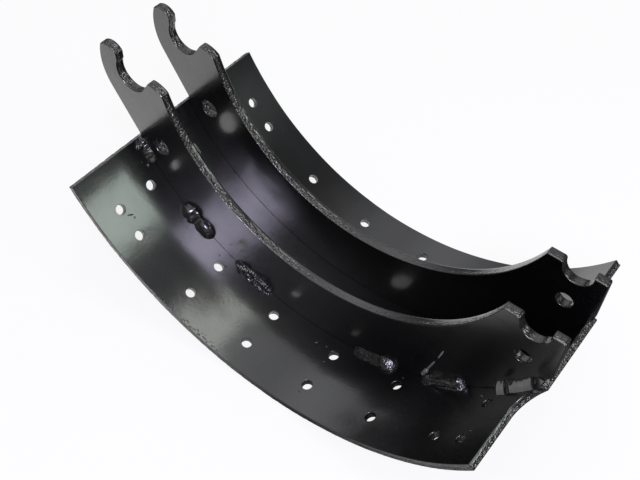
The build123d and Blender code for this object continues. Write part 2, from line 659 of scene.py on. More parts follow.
@dataclass(frozen=True)
class ShearedEdge:
    """What a blanking die leaves on a plate's edge: a small roll-over, a smooth cut and a tear.

    The tear is the deeper part of the edge, or the shallower one where the blank lies turned. It
    grows with the depth by a rate, less a delay. The streaks' stretch is their
    width over their length. The sway is a slow wave along the edge, as a share of the tear. The
    attribute "sheared" is at least the least share on a cut, and less at the rounded corners.
    """

    roll_over: float = 0.85 * MM
    draw_in: float = 0.45 * MM
    round_steps: int = 5
    cut_rows: int = 9
    tear: float = 0.13 * MM
    tear_rate: float = 4.0
    tear_delay: float = 1.3
    grain: float = 2.2 * MM
    drag: float = 0.10 * MM
    streak_grain: float = 1.0 * MM
    streak_stretch: float = 0.09
    sway: float = 0.3
    sway_length: float = 9 * MM
    least_share: float = 0.10
    rounded_share: float = 0.15
    turned: bool = False

    def torn(self, share: float) -> float:
        """How torn the edge is at a share of its depth, from 0, rising to 1 past the middle."""
        share = 1 - share if self.turned else share
        return float(np.clip(share * self.tear_rate - self.tear_delay, 0, 1))

    def profile(self, thickness: float) -> tuple[np.ndarray, np.ndarray]:
        """Find how far in and how deep each row of the edge lies.

        Both corners are quarters of an ellipse, and the rows between them are evenly spaced.

        Args:
            thickness: Thickness of the plate.

        Returns:
            The distance in from the outline and the depth below the front face of each row.
        """
        turn = np.linspace(0, np.pi / 2, self.round_steps + 1)
        inset = self.draw_in * (1 - np.sin(turn))
        depth = self.roll_over * (1 - np.cos(turn))
        middle = np.linspace(self.roll_over, thickness - self.roll_over, self.cut_rows + 2)[1:-1]
        insets = np.concatenate((inset, np.zeros(self.cut_rows), inset[::-1]))
        depths = np.concatenate((depth, middle, (thickness - depth)[::-1]))
        return insets, depths


@dataclass
class Plate:
    """A blanked plate: two faces joined round every outline by a band of sheared edge."""

    name: str
    outlines: list[np.ndarray]
    thickness: float
    place: Callable[[np.ndarray, np.ndarray], np.ndarray]
    edge: ShearedEdge = field(default_factory=ShearedEdge)
    raggedness: Callable[[np.ndarray], np.ndarray] = lambda edge: np.ones(len(edge))
    mesh_spacing: float = 7.0 * MM
    seed: int = 1

    def edge_points(self) -> tuple[np.ndarray, np.ndarray, np.ndarray]:
        """Gather the outlines' points, the way out of the metal at each, and the next point.

        The way out is the mean direction of the two steps at a point, turned a quarter to the
        right, as the outer outline runs anticlockwise and each hole clockwise.

        Returns:
            The points, their outward directions and the number of the point after each.
        """
        outward, following, offset = [], [], 0
        for outline in self.outlines:
            ahead = np.roll(outline, -1, axis=0) - outline
            ahead /= np.linalg.norm(ahead, axis=1, keepdims=True)
            mean = ahead + np.roll(ahead, 1, axis=0)
            mean /= np.linalg.norm(mean, axis=1, keepdims=True)
            widen = 1 / np.clip(np.sum(mean * ahead, axis=1, keepdims=True), 0.5, 1)
            outward.append(np.stack((mean[:, 1], -mean[:, 0]), axis=1) * widen)
            following.append(offset + np.roll(np.arange(len(outline)), -1))
            offset += len(outline)
        return np.vstack(self.outlines), np.vstack(outward), np.concatenate(following)

    def inner_points(self, edge: np.ndarray) -> np.ndarray:
        """Spread points over the faces, on a square grid that keeps clear of every edge point.

        Args:
            edge: Points of all the outlines.

        Returns:
            The grid points that are at least half a spacing from the edge points.
        """
        low, high = edge.min(axis=0), edge.max(axis=0)
        across = [np.arange(low[axis], high[axis], self.mesh_spacing) for axis in (0, 1)]
        grid = np.stack(np.meshgrid(*across), axis=-1).reshape(-1, 2)
        gap = np.linalg.norm(grid[:, None, :] - edge[None, :, :], axis=2).min(axis=1)
        return grid[gap > self.mesh_spacing / 2]

    def fill(self, flat: np.ndarray, bounds: np.ndarray) -> np.ndarray:
        """Fill the space between the outlines with triangles.

        The points are joined into triangles that respect the outlines. A triangle is kept where
        a line from its middle crosses the outlines an odd number of times.

        Args:
            flat: Points of a face, the outlines' first.
            bounds: Pairs of vertex numbers, one for each step of an outline.

        Returns:
            Vertex numbers of the triangles inside.
        """
        _, _, found, used, _, _ = delaunay_2d_cdt(
            flat.tolist(), bounds.tolist(), [], ALL_TRIANGLES, 1e-9, True
        )
        triangles = np.array([ids[0] for ids in used])[np.array(found)]
        middle_x, middle_y = flat[triangles].mean(axis=1).T[:, :, None]
        start_x, start_y = flat[bounds[:, 0]].T[:, None, :]
        end_x, end_y = flat[bounds[:, 1]].T[:, None, :]
        spans = (start_y > middle_y) != (end_y > middle_y)
        rise = np.where(end_y == start_y, 1.0, end_y - start_y)
        crossing = start_x + (end_x - start_x) * (middle_y - start_y) / rise
        crossed = np.sum(spans & (middle_x < crossing), axis=1)
        return triangles[crossed % 2 == 1]

    def build(self) -> Object:
        """Make the plate's mesh.

        Each face is the outlines, moved in by the roll-over, and its grid points, joined into
        triangles. The edge band carries the edge's profile along every outline. Its cut rows are
        moved in by streaks that run along the edge, and its torn half by uneven amounts too.

        Returns:
            The plate's object, with the attribute "sheared" set to its edges' raggedness.
        """
        form, (edge, outward, following) = self.edge, self.edge_points()
        insets, depths = form.profile(self.thickness)
        rim = edge - outward * insets[0]
        flat = np.vstack((rim, self.inner_points(edge)))
        here = np.arange(len(edge))
        bounds = np.stack((here, following), axis=1)
        triangles = self.fill(flat, bounds)
        count, length, rows = len(flat), len(edge), len(depths)
        running = np.concatenate([lengths_along(outline) for outline in self.outlines])
        ragged = self.raggedness(edge)

        layers = [self.place(flat, np.full(count, depth)) for depth in (0.0, self.thickness)]
        sheared = [np.zeros(2 * count)]
        for row in range(1, rows - 1):
            torn, depth = form.torn(depths[row] / self.thickness), np.full(length, depths[row])
            rough = roughness_noise(np.column_stack((edge, depth)), form.grain, self.seed)
            drawn = np.column_stack((form.streak_stretch * running, 0 * running, depth))
            streaks = roughness_noise(drawn, form.streak_grain, self.seed + STREAK_SEED)
            inset = insets[row] + ragged * torn * form.tear * np.abs(rough)
            inset += ragged * form.drag * np.abs(streaks) * (insets[row] == 0)
            inset += form.sway * ragged * form.tear * (1 + np.sin(running / form.sway_length))
            layers.append(self.place(edge - outward * inset[:, None], depth))
            share = form.least_share + (1 - form.least_share) * torn
            sheared.append(ragged * share * (form.rounded_share if insets[row] > 0 else 1.0))
        vertices = np.vstack(layers)

        first_of_row = np.concatenate(([0], 2 * count + length * np.arange(rows - 2), [count]))
        upper, lower = first_of_row[:-1, None], first_of_row[1:, None]
        band = np.stack((upper + following, upper + here, lower + here, lower + following), axis=-1)
        faces = [triangles, triangles[:, ::-1] + count, band.reshape(-1, 4)]
        piece = make_object(self.name, vertices, faces)
        self.flatten_faces(piece, flat, count)
        set_attribute(piece, "sheared", np.concatenate(sheared))
        return piece

    def flatten_faces(self, piece: Object, flat: np.ndarray, count: int) -> None:
        """Give the two faces the true normals of the sheet, and leave the edge band as it is.

        A face's normal is the step from a point a little inside the plate to one outside it.

        Args:
            piece: The plate's object.
            flat: Outline coordinates of the points on a face.
            count: Number of points on a face.
        """
        step = 0.1 * MM
        normals = np.empty(3 * len(piece.data.vertices))
        piece.data.vertex_normals.foreach_get("vector", normals)
        normals = normals.reshape(-1, 3)
        inward = self.place(flat, np.full(count, step)) - self.place(flat, np.zeros(count))
        normals[:count] = -inward / step
        normals[count : 2 * count] = inward / step
        piece.data.normals_split_custom_set_from_vertices(normals.tolist())


@dataclass
class Table:
    """The rolled rim: a strip with a tongue at the cam end, pierced for rivets and jigs."""

    start: float = -58.6
    flange_end: float = 55.75
    tongue_end: float = 61.0
    tongue_half_width: float = 30.0 * MM
    tongue_root: float = 19.0 * MM
    thickness: float = 4.8 * MM
    rivet_hole: float = 3.4 * MM
    outer_row: float = 69.0 * MM
    inner_row: float = 40.0 * MM
    rivet_pitch: float = 16.6
    rivet_last_step: float = 6.9
    locating_hole: float = 7.75 * MM
    locating_angles: tuple[float, ...] = (-48.4, 8.3)
    spacing: float = 0.8 * MM

    @property
    def inner_radius(self) -> float:
        """Radius of the face that the webs stand on."""
        return AXIS.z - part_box("table")[0][2] - self.thickness

    @property
    def half_width(self) -> float:
        """Half the table's width, as the frame has it."""
        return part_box("table")[1][1]

    def along(self, angle: float) -> float:
        """Length along the inner face from straight down to an angle in degrees."""
        return self.inner_radius * np.radians(angle)

    def roll(self, flat: np.ndarray, depth: np.ndarray) -> np.ndarray:
        """Roll the flat strip about the drum's axis.

        The length along the strip becomes an angle, and the depth adds to the radius.

        Args:
            flat: Length along and place across the strip, one row each.
            depth: Depth below the inner face.

        Returns:
            The places in the frame.
        """
        place = AXIS.polar(self.inner_radius + depth, flat[:, 0] / self.inner_radius)
        return np.column_stack((place[:, 0], flat[:, 1], place[:, 1]))

    def outline(self) -> np.ndarray:
        """Trace the strip: straight sides, and a tongue between two round roots.

        Returns:
            The outline's points, anticlockwise.
        """
        angles = (self.start, self.flange_end, self.tongue_end)
        start, shoulder, end = (self.along(angle) for angle in angles)
        side, tongue, root = self.half_width, self.tongue_half_width, self.tongue_root
        last = np.arccos(1 - min(root, end - shoulder) / root)
        right = np.array((shoulder + root, -tongue - root))
        left = np.array((shoulder + root, tongue + root))
        tip_right, tip_left = right[1] + root * np.sin(last), left[1] - root * np.sin(last)
        pen = Pen(self.spacing)
        runs = (
            pen.line((start, -side), (shoulder, -side)),
            pen.line((shoulder, -side), (shoulder, right[1])),
            pen.arc(right, root, np.pi, np.pi - last),
            pen.line((end, tip_right), (end, tip_left)),
            pen.arc(left, root, np.pi + last, np.pi),
            pen.line((shoulder, left[1]), (shoulder, side)),
            pen.line((shoulder, side), (start, side)),
            pen.line((start, side), (start, -side)),
        )
        return np.vstack(runs)

    def holes(self) -> list[np.ndarray]:
        """Trace every hole: rivets in rows along each edge and each web, and two for the jig.

        Returns:
            The holes' outlines, clockwise.
        """
        both = (self.inner_row, self.outer_row)
        columns = (
            (0.5 * self.rivet_pitch, both),
            (1.5 * self.rivet_pitch, both),
            (2.5 * self.rivet_pitch, (self.outer_row,)),
            (2.5 * self.rivet_pitch + self.rivet_last_step, both),
        )
        found = [circle((self.along(a), 0.0), self.locating_hole, 64) for a in self.locating_angles]
        for column, rows in columns:
            for angle in (-column, column):
                for row in rows:
                    for place in (-row, row):
                        found.append(circle((self.along(angle), place), self.rivet_hole, 40))
        return found

    def build(self, finish: Material) -> list[Object]:
        """Make and dress the table.

        Args:
            finish: Its enamel.

        Returns:
            The finished piece, alone in a list.
        """
        outlines = [self.outline(), *self.holes()]
        plate = Plate("rolled_table", outlines, self.thickness, self.roll, seed=11)
        piece = plate.build()
        piece.data.materials.append(finish)
        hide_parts("table")
        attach(piece, "root")
        return [piece]


@dataclass
class Web:
    """A blanked web: a hook for the anchor pin, a curved body and a seat for the cam roller.

    Places are (x, z) in the frame, in metres. The table's radius is that of the face that the
    web stands on.
    """

    side: Side
    table_radius: float
    inner_radius: float = 133.2 * MM
    anchor_seat_radius: float = 12.0 * MM
    hook_root_angle: float = -57.7
    heel: Pair = (-0.4 * MM, -51.0 * MM)
    heel_radius: float = 6.0 * MM
    shoulder: Pair = (-20.6 * MM, -19.8 * MM)
    tip: Pair = (-24.7 * MM, 13.5 * MM)
    crown: Pair = (-18.4 * MM, 15.4 * MM)
    lip: Pair = (-10.7 * MM, 11.0 * MM)
    nose_start: Pair = (15.0 * MM, 1.1 * MM)
    nose_crown: Pair = (21.4 * MM, 0.2 * MM)
    nose_end_angle: float = -71.2
    nose_radius: float = 1.5 * MM
    spring_hole: Pair = (19.3 * MM, -51.8 * MM)
    spring_hole_radius: float = 6.75 * MM
    roller_seat: Pair = (297.6 * MM, -11.2 * MM)
    roller_seat_radius: float = 9.5 * MM
    land_z: float = -9.2 * MM
    cam_end_x: float = 315.6 * MM
    land_corner: float = 2.0 * MM
    end_corner: float = 1.5 * MM
    retainer_hole: Pair = (296.1 * MM, -38.7 * MM)
    retainer_hole_radius: float = 5.5 * MM
    ragged_until: float = 105 * MM
    easing: float = 75 * MM
    eased: float = 0.75
    spacing: float = 0.6 * MM

    @property
    def pen(self) -> Pen:
        """The pen that traces the blank."""
        return Pen(self.spacing)

    @property
    def node(self) -> str:
        """Name of the frame's node that this web stands for."""
        return f"{self.side.label}_web"

    @property
    def outer_face(self) -> float:
        """The y of the face that carries the welds."""
        low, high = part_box(self.node)
        return low[1] if self.side is Side.FRONT else high[1]

    @property
    def thickness(self) -> float:
        """Thickness of the plate, as the frame has it."""
        low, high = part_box(self.node)
        return high[1] - low[1]

    def stand(self, flat: np.ndarray, depth: np.ndarray) -> np.ndarray:
        """Stand the blank up: its coordinates become x and z, and the depth runs inwards along y.

        Args:
            flat: x and z on the blank, one row each.
            depth: Depth below the outer face.

        Returns:
            The places in the frame.
        """
        y = self.outer_face - self.side.value * depth
        return np.column_stack((flat[:, 0], y, flat[:, 1]))

    def raggedness(self, edge: np.ndarray) -> np.ndarray:
        """How badly the edge is torn: fully at the anchor end, easing off past the middle.

        Args:
            edge: Points of the outlines, x and z.

        Returns:
            A share for each point, from a smooth step along x.
        """
        share = np.clip((edge[:, 0] - self.ragged_until) / self.easing, 0, 1)
        return 1 - self.eased * share * share * (3 - 2 * share)

    def hook_runs(self) -> list[np.ndarray]:
        """Trace the anchor end from the table's face round the hook, the seat and the nose.

        Returns:
            The runs of points, up to the start of the curved inner edge.
        """
        root = AXIS.polar(self.table_radius, np.radians(self.hook_root_angle))
        nose_end = AXIS.polar(self.inner_radius, np.radians(self.nose_end_angle))
        seat = self.anchor_seat_radius
        wall_foot = (self.lip[0], np.sqrt(seat**2 - self.lip[0] ** 2))
        start = np.asarray(self.nose_start)
        mouth = np.arctan2(start[1], start[0]) - np.arccos(seat / np.linalg.norm(start))
        seat_end = seat * np.array((np.cos(mouth), np.sin(mouth)))
        pen = self.pen
        heel = pen.rounded(root, self.heel, self.shoulder, self.heel_radius)
        nose = pen.rounded(seat_end, self.nose_start, self.nose_crown, self.nose_radius)
        heading = np.asarray(self.shoulder) - np.asarray(self.heel)
        return [
            pen.line(root, heel[0]),
            heel,
            pen.line(heel[-1], self.shoulder)[1:],
            pen.tangent_arc(self.shoulder, heading, self.tip),
            pen.arc_through(self.tip, self.crown, self.lip),
            pen.line(self.lip, wall_foot),
            pen.arc_through(wall_foot, (0.0, -seat), seat_end),
            pen.line(seat_end, nose[0]),
            nose,
            pen.arc_through(nose[-1], self.nose_crown, nose_end)[1:],
        ]

    def foot(self) -> Pair:
        """Where the cam end's straight edge meets the table's face."""
        x = self.cam_end_x
        return x, AXIS.z - np.sqrt(self.table_radius**2 - (x - AXIS.x) ** 2)

    def cam_runs(self) -> list[np.ndarray]:
        """Trace the cam end from the inner edge over both lands and the seat to the table.

        Returns:
            The runs of points, up to the foot on the table.
        """
        seat_x, seat_z = self.roller_seat
        seat, corner = self.roller_seat_radius, self.land_corner
        drop = self.land_z - AXIS.z
        land_start = (AXIS.x + np.sqrt(self.inner_radius**2 - drop**2), self.land_z)
        round_z = self.land_z - corner
        round_x = seat_x - np.sqrt((seat + corner) ** 2 - (round_z - seat_z) ** 2)
        touch = np.arctan2(seat_z - round_z, seat_x - round_x)
        mouth_end = (seat_x + np.sqrt(seat**2 - (self.land_z - seat_z) ** 2), self.land_z)
        foot = self.foot()
        pen = self.pen
        end = pen.rounded(mouth_end, (self.cam_end_x, self.land_z), foot, self.end_corner)
        seat_start = (round_x + corner * np.cos(touch), round_z + corner * np.sin(touch))
        return [
            pen.line(land_start, (round_x, self.land_z)),
            pen.arc((round_x, round_z), corner, np.pi / 2, touch),
            pen.arc_through(seat_start, (seat_x, seat_z - seat), mouth_end),
            pen.line(mouth_end, end[0]),
            end,
            pen.line(end[-1], foot)[1:],
        ]

    def outline(self) -> np.ndarray:
        """Trace the whole blank, with its two curved edges between the ends.

        Returns:
            The outline's points, anticlockwise.
        """
        hook, cam = self.hook_runs(), self.cam_runs()
        nose_end = AXIS.polar(self.inner_radius, np.radians(self.nose_end_angle))
        bend = self.pen.arc_through
        inner = bend(nose_end, AXIS.polar(self.inner_radius, 0.0), cam[0][0])
        outer = bend(self.foot(), AXIS.polar(self.table_radius, 0.0), hook[0][0])
        points = np.vstack((*hook, inner, *cam, outer))
        return points if signed_area(points) > 0 else points[::-1]

    def build(self, finish: Material) -> list[Object]:
        """Make and dress the web.

        Args:
            finish: Its enamel.

        Returns:
            The finished piece, alone in a list.
        """
        outlines = [
            self.outline(),
            circle(self.spring_hole, self.spring_hole_radius, 64),
            circle(self.retainer_hole, self.retainer_hole_radius, 56),
        ]
        plate = Plate(
            f"{self.side.label}_web_blank",
            outlines,
            self.thickness,
            self.stand,
            edge=ShearedEdge(roll_over=1.3 * MM, turned=self.side is Side.FRONT),
            raggedness=self.raggedness,
            seed=23 if self.side is Side.FRONT else 37,
        )
        piece = plate.build()
        piece.data.materials.append(finish)
        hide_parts(self.node)
        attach(piece, "root")
        return [piece]


# -------------------------------------------------------------------------------- weld metal


class BeadForm(Enum):
    """How a pass froze: heights of its ripples, lumps and ridges, flatness, bluntness and grit."""

    BLOB = (0.000, 0.09, 0.020, 0.0, 2.3, 0.12)
    LUMPY = (0.020, 0.10, 0.020, 0.1, 3.4, 0.70)
    ROUGH = (0.035, 0.11, 0.070, 0.1, 4.5, 1.05)
    FLATTENED = (0.008, 0.03, 0.020, 0.9, 7.0, 0.45)
    RIDGED = (0.010, 0.04, 0.120, 0.3, 4.5, 0.45)
    SMOOTH = (0.000, 0.004, 0.002, 0.65, 5.0, 0.02)


@dataclass(frozen=True)
class WeldPass:
    """One pass of weld: where it starts and ends in degrees, its leg in millimetres, its form."""

    first: float
    last: float
    leg: float
    form: BeadForm


@dataclass
class StitchWeld:
    """A stitch of one or more overlapping passes in the corner between a web and the table.

    The corner is where the table's inner face, by its radius, meets the web's outer face, by y.
    Lumps and ridges are sized in legs of their pass, and the ridges' stretch is their width over
    their length. Passes merge by a power, and the lag bends each ripple into a crescent.
    """

    side: Side
    number: int
    passes: tuple[WeldPass, ...]
    corner_radius: float
    corner_y: float
    sink: float = 2.0 * MM
    root: float = 1.5 * MM
    ripple_pitch: float = 1.7 * MM
    ripple_lag: float = 0.9
    ripple_power: float = 0.6
    lump_legs: float = 1.3
    ridge_legs: float = 0.45
    ridge_stretch: float = 0.22
    least_size: float = 0.02 * MM
    grit: float = 0.09 * MM
    grain: float = 1.5 * MM
    merge: float = 7.0
    around: int = 72
    spacing: float = 0.28 * MM

    @property
    def node(self) -> str:
        """Name of the frame's node that this stitch stands for."""
        return f"{self.side.label}_weld_{self.number}"

    def size(
        self, one: WeldPass, angle: np.ndarray, turn: np.ndarray, run: np.ndarray, seed: int
    ) -> np.ndarray:
        """Work out how far one pass reaches from its middle line.

        The reach swells from nothing at one end to the full bead and back, by the root of one
        less a high power of the share of its length. A flat pass keeps to the straight line
        between its toes. Crescent ripples, whose middle lags behind their sides, ridges along
        the bead and uneven lumps each add a share of the reach.

        Args:
            one: The pass.
            angle: Angles of the rings, in degrees, as a column.
            turn: Angles round the bead, as a row.
            run: Lengths along the corner, as a column.
            seed: Number that the lumps start from.

        Returns:
            The reach for every ring and turn.
        """
        ripple, lump, ridge, flat, blunt, _ = one.form.value
        leg = one.leg * MM
        full = np.hypot(leg + self.sink, self.sink)
        share = np.clip(2 * (angle - one.first) / (one.last - one.first) - 1, -1, 1)
        swell = (1 - np.abs(share) ** blunt) ** 0.5
        chord = (leg + 2 * self.sink) / np.sqrt(2) / np.maximum(np.cos(turn - np.pi / 4), 0.6)
        crescent = run / self.ripple_pitch - self.ripple_lag * np.cos(turn - np.pi / 4)
        waves = 2 * (0.5 + 0.5 * np.cos(2 * np.pi * crescent)) ** self.ripple_power - 1
        spot = np.stack(np.broadcast_arrays(run, full * np.cos(turn), full * np.sin(turn)), axis=-1)
        spot = spot.reshape(-1, 3)
        lumps = roughness_noise(spot, self.lump_legs * leg, seed).reshape(len(run), -1)
        drawn = spot * np.array((self.ridge_stretch, 1.0, 1.0))
        ridges = roughness_noise(drawn, self.ridge_legs * leg, seed + RIDGE_SEED)
        ridges = ridges.reshape(len(run), -1)
        uneven = 1 + ripple * waves + lump * np.tanh(lumps) + ridge * np.tanh(ridges)
        return (full + flat * (np.minimum(chord, full) - full)) * swell * uneven

    def body(self, seed: int) -> tuple:
        """Make the stitch as one sausage that lies in the corner, half of it inside the metal.

        Its reach is the smooth maximum of its passes' reaches, a root of the sum of their
        powers, with fine grit on top. The half inside the metal is cut square, at the root's
        depth, so that it never shows through a plate.

        Args:
            seed: Number that the lumps start from.

        Returns:
            Vertices, face arrays and the grit at each vertex.
        """
        first, last = min(one.first for one in self.passes), max(one.last for one in self.passes)
        count = int(np.radians(last - first) * self.corner_radius / self.spacing)
        angle = np.linspace(first, last, count + 2)[1:-1, None]
        turn = ring_turns(self.around)
        run = np.radians(angle) * self.corner_radius
        powers = [
            self.size(one, angle, turn, run, seed + place) ** self.merge
            for place, one in enumerate(self.passes)
        ]
        total = np.sum(powers, axis=0)
        size = total ** (1 / self.merge)
        shares = [one.form.value[-1] * power for one, power in zip(self.passes, powers)]
        grit = np.sum(shares, axis=0) / np.maximum(total, 1e-30)
        spot = np.stack(np.broadcast_arrays(run, size * np.cos(turn), size * np.sin(turn)), axis=-1)
        fine = roughness_noise(spot.reshape(-1, 3), self.grain, seed + GRIT_SEED)
        size += self.grit * grit * fine.reshape(size.shape)
        buried = self.root / np.maximum(np.maximum(-np.cos(turn), -np.sin(turn)), 0.05)
        size = np.clip(size, self.least_size, buried)
        across, above = size * np.cos(turn) - self.sink, size * np.sin(turn) - self.sink
        ground = AXIS.polar(self.corner_radius - above, np.radians(angle) + np.zeros_like(turn))
        y = self.corner_y + self.side.value * across
        rings = np.stack((ground[..., 0], y, ground[..., 1]), axis=-1)
        poles = []
        for end in (first, last):
            x, z = AXIS.polar(self.corner_radius + self.sink, np.radians(end))
            poles.append(np.array((x, self.corner_y - self.side.value * self.sink, z)))
        vertices, faces = capped_tube(rings, *poles)
        return vertices, faces, np.concatenate((grit.ravel(), (1.0, 1.0)))

    def build(self, finish: Material) -> list[Object]:
        """Make and dress the stitch.

        Args:
            finish: Its enamel.

        Returns:
            The finished piece, alone in a list.
        """
        seed = 100 * self.number + (7 if self.side is Side.FRONT else 57)
        vertices, faces, grit = self.body(seed)
        piece = make_object(f"{self.side.label}_stitch_{self.number}", vertices, faces)
        set_attribute(piece, "grit", grit)
        piece.data.materials.append(finish)
        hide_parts(self.node)
        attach(piece, "root")
        return [piece]


STITCHES = (
    (WeldPass(-58.6, -53.6, 5.4, BeadForm.LUMPY), WeldPass(-55.8, -51.4, 4.6, BeadForm.BLOB)),
    (WeldPass(-41.0, -34.8, 6.9, BeadForm.BLOB), WeldPass(-36.4, -30.2, 6.3, BeadForm.BLOB)),
    (WeldPass(-23.4, -14.6, 5.2, BeadForm.ROUGH), WeldPass(-17.4, -12.0, 5.8, BeadForm.ROUGH)),
    (WeldPass(10.6, 21.6, 5.2, BeadForm.FLATTENED), WeldPass(17.6, 22.2, 5.8, BeadForm.LUMPY)),
    (WeldPass(28.5, 39.6, 5.6, BeadForm.RIDGED), WeldPass(36.8, 40.2, 5.9, BeadForm.LUMPY)),
    (WeldPass(48.2, 52.6, 6.4, BeadForm.SMOOTH), WeldPass(50.0, 61.0, 5.3, BeadForm.SMOOTH)),
)


@dataclass
class Spatter:
    """Frozen drops and flecks on the table, and pieces of welding wire on the front web.

    Each drop is an angle and a y on the table's inner face, the lift of its middle above that
    face, its length, width and height, and its heading from the table's length, in degrees. Each
    wire runs between two places (x, z) on the front web, and has a thickness. Lengths are in
    millimetres. A wire's seat is how far its middle lies off the web, as a share of its radius.
    """

    table: Table
    web_face: float
    drops: tuple[tuple[float, ...], ...] = (
        (-46.2, -65.6, 0.0, 4.6, 1.2, 0.5, 62.0),
        (-45.2, -64.2, 0.0, 1.6, 1.3, 0.6, 0.0),
        (-57.2, -31.4, 1.3, 8.6, 1.5, 2.5, -38.0),
        (-52.2, -33.4, 0.0, 4.0, 3.0, 1.8, 40.0),
        (-53.6, -36.2, 0.0, 1.6, 1.3, 0.7, 0.0),
        (-23.9, -36.6, 0.0, 2.4, 1.6, 0.7, 20.0),
        (-26.6, -33.5, 0.0, 1.2, 1.1, 0.5, 0.0),
        (-21.7, -64.7, 0.0, 1.5, 1.2, 0.5, 0.0),
        (3.2, -38.3, 0.0, 2.6, 1.2, 0.6, 35.0),
        (5.6, -36.8, 0.0, 1.8, 1.3, 0.6, 0.0),
        (7.5, -47.9, 0.0, 1.4, 1.2, 0.5, 0.0),
        (8.1, -76.0, 0.0, 1.9, 0.9, 0.4, 10.0),
        (25.0, -33.0, 0.0, 1.3, 1.2, 0.5, 0.0),
        (49.4, -62.6, 0.0, 1.6, 1.2, 0.5, 0.0),
        (45.8, -34.5, 0.0, 1.7, 1.4, 0.6, 0.0),
        (-27.4, -86.8, 0.0, 1.6, 1.2, 0.20, 0.0),
        (-25.2, -87.3, 0.0, 2.6, 1.0, 0.20, 12.0),
        (-21.6, -87.4, 0.0, 3.0, 1.3, 0.24, 10.0),
        (-20.7, -85.9, 0.0, 3.6, 1.1, 0.16, -12.0),
        (-19.6, -87.5, 0.0, 1.9, 1.4, 0.34, 0.0),
        (-18.6, -87.0, 0.0, 4.0, 1.2, 0.18, 6.0),
        (-17.8, -85.5, 0.0, 2.8, 1.1, 0.14, -24.0),
        (-17.1, -87.4, 0.0, 2.6, 1.5, 0.30, 8.0),
        (-16.3, -84.9, 0.0, 3.6, 0.9, 0.12, 16.0),
        (-15.6, -86.6, 0.0, 4.2, 1.3, 0.20, -5.0),
        (-14.6, -87.5, 0.0, 2.0, 1.2, 0.26, 0.0),
        (-13.9, -85.4, 0.0, 3.0, 1.1, 0.12, 28.0),
        (-13.0, -87.0, 0.0, 3.4, 1.3, 0.18, 7.0),
        (-11.7, -87.3, 0.0, 2.6, 1.1, 0.22, 4.0),
        (-38.5, 75.4, 0.0, 1.1, 0.9, 0.5, 0.0),
        (-47.0, 76.5, 0.0, 1.0, 0.8, 0.4, 0.0),
        (-41.8, 73.6, 0.0, 0.9, 0.8, 0.4, 0.0),
    )
    wires: tuple[tuple[float, float, float, float, float], ...] = (
        (241.2, -114.2, 243.6, -106.4, 2.8),
        (243.0, -108.0, 246.9, -94.6, 1.4),
        (248.8, -88.0, 250.9, -78.6, 1.2),
    )
    wire_seat: float = 0.7
    wire_rings: int = 24
    wire_bluntness: int = 12
    wire_sway: float = 0.12
    around: int = 24
    rows: int = 8

    def drop(self, drop: tuple) -> tuple:
        """Make one drop: rings whose size follows a cosine and whose height follows a sine.

        Args:
            drop: Its place, sizes and heading.

        Returns:
            Vertices and face arrays.
        """
        angle, y, lift, length, width, height, heading = drop
        rise = np.linspace(-0.5 * np.pi, 0.5 * np.pi, self.rows + 2)[1:-1, None]
        turn = ring_turns(self.around)
        along = length / 2 * MM * np.cos(rise) * np.cos(turn)
        across = width / 2 * MM * np.cos(rise) * np.sin(turn)
        cosine, sine = np.cos(np.radians(heading)), np.sin(np.radians(heading))
        middle_x = self.table.along(angle)
        flat_x = middle_x + along * cosine - across * sine
        flat_y = y * MM + along * sine + across * cosine
        depth = -(lift + height * np.sin(rise)) * MM + np.zeros_like(turn)
        flat = np.stack((flat_x, flat_y), axis=-1).reshape(-1, 2)
        rings = self.table.roll(flat, depth.ravel()).reshape(self.rows, self.around, 3)
        middle = np.repeat(((middle_x, y * MM),), 2, axis=0)
        poles = self.table.roll(middle, np.array(((height - lift) * MM, -(height + lift) * MM)))
        return capped_tube(rings, *poles)

    def wire(self, wire: tuple) -> tuple:
        """Make one wire: rings along its line, drawn in to rounded ends by a root.

        Args:
            wire: Its two ends and its thickness.

        Returns:
            Vertices and face arrays.
        """
        start, end = np.array(wire[:2]) * MM, np.array(wire[2:4]) * MM
        radius = wire[4] / 2 * MM
        share = -np.cos(np.linspace(0, np.pi, self.wire_rings + 2))[1:-1, None]
        turn = ring_turns(self.around)
        ahead = (end - start) / np.linalg.norm(end - start)
        size = radius * (1 - np.abs(share) ** self.wire_bluntness) ** 0.5
        size = size * (1 + self.wire_sway * np.sin(5 * share))
        middle = (start + end) / 2 + (end - start) / 2 * share
        sideways = size * np.cos(turn)
        x = middle[:, :1] - sideways * ahead[1]
        z = middle[:, 1:] + sideways * ahead[0]
        seat = self.web_face - self.wire_seat * radius
        rings = np.stack((x, seat - size * np.sin(turn), z), axis=-1)
        return capped_tube(rings, *(np.array((place[0], seat, place[1])) for place in (start, end)))

    def build(self, enamel: Material, bare: Material) -> list:
        """Make and dress the drops as one piece and the wires as another.

        Args:
            enamel: The enamel over weld metal, for the drops.
            bare: The finish of the wires.

        Returns:
            The finished pieces.
        """
        made = (
            ("weld_spatter", [self.drop(drop) for drop in self.drops], enamel),
            ("welding_wire_stub", [self.wire(wire) for wire in self.wires], bare),
        )
        pieces = []
        for name, parts, finish in made:
            piece = make_object(name, *join_parts(parts))
            piece.data.materials.append(finish)
            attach(piece, "root")
            pieces.append(piece)
        return pieces


# ------------------------------------------------------------------------------------- studio


def towards(bearing: float, rise: float) -> np.ndarray:
    """Direction with a bearing from +Y towards +X and a rise above the floor, in degrees."""
    bearing, rise = np.radians(bearing), np.radians(rise)
    level = np.cos(rise)
    return np.array((np.sin(bearing) * level, np.cos(bearing) * level, np.sin(rise)))


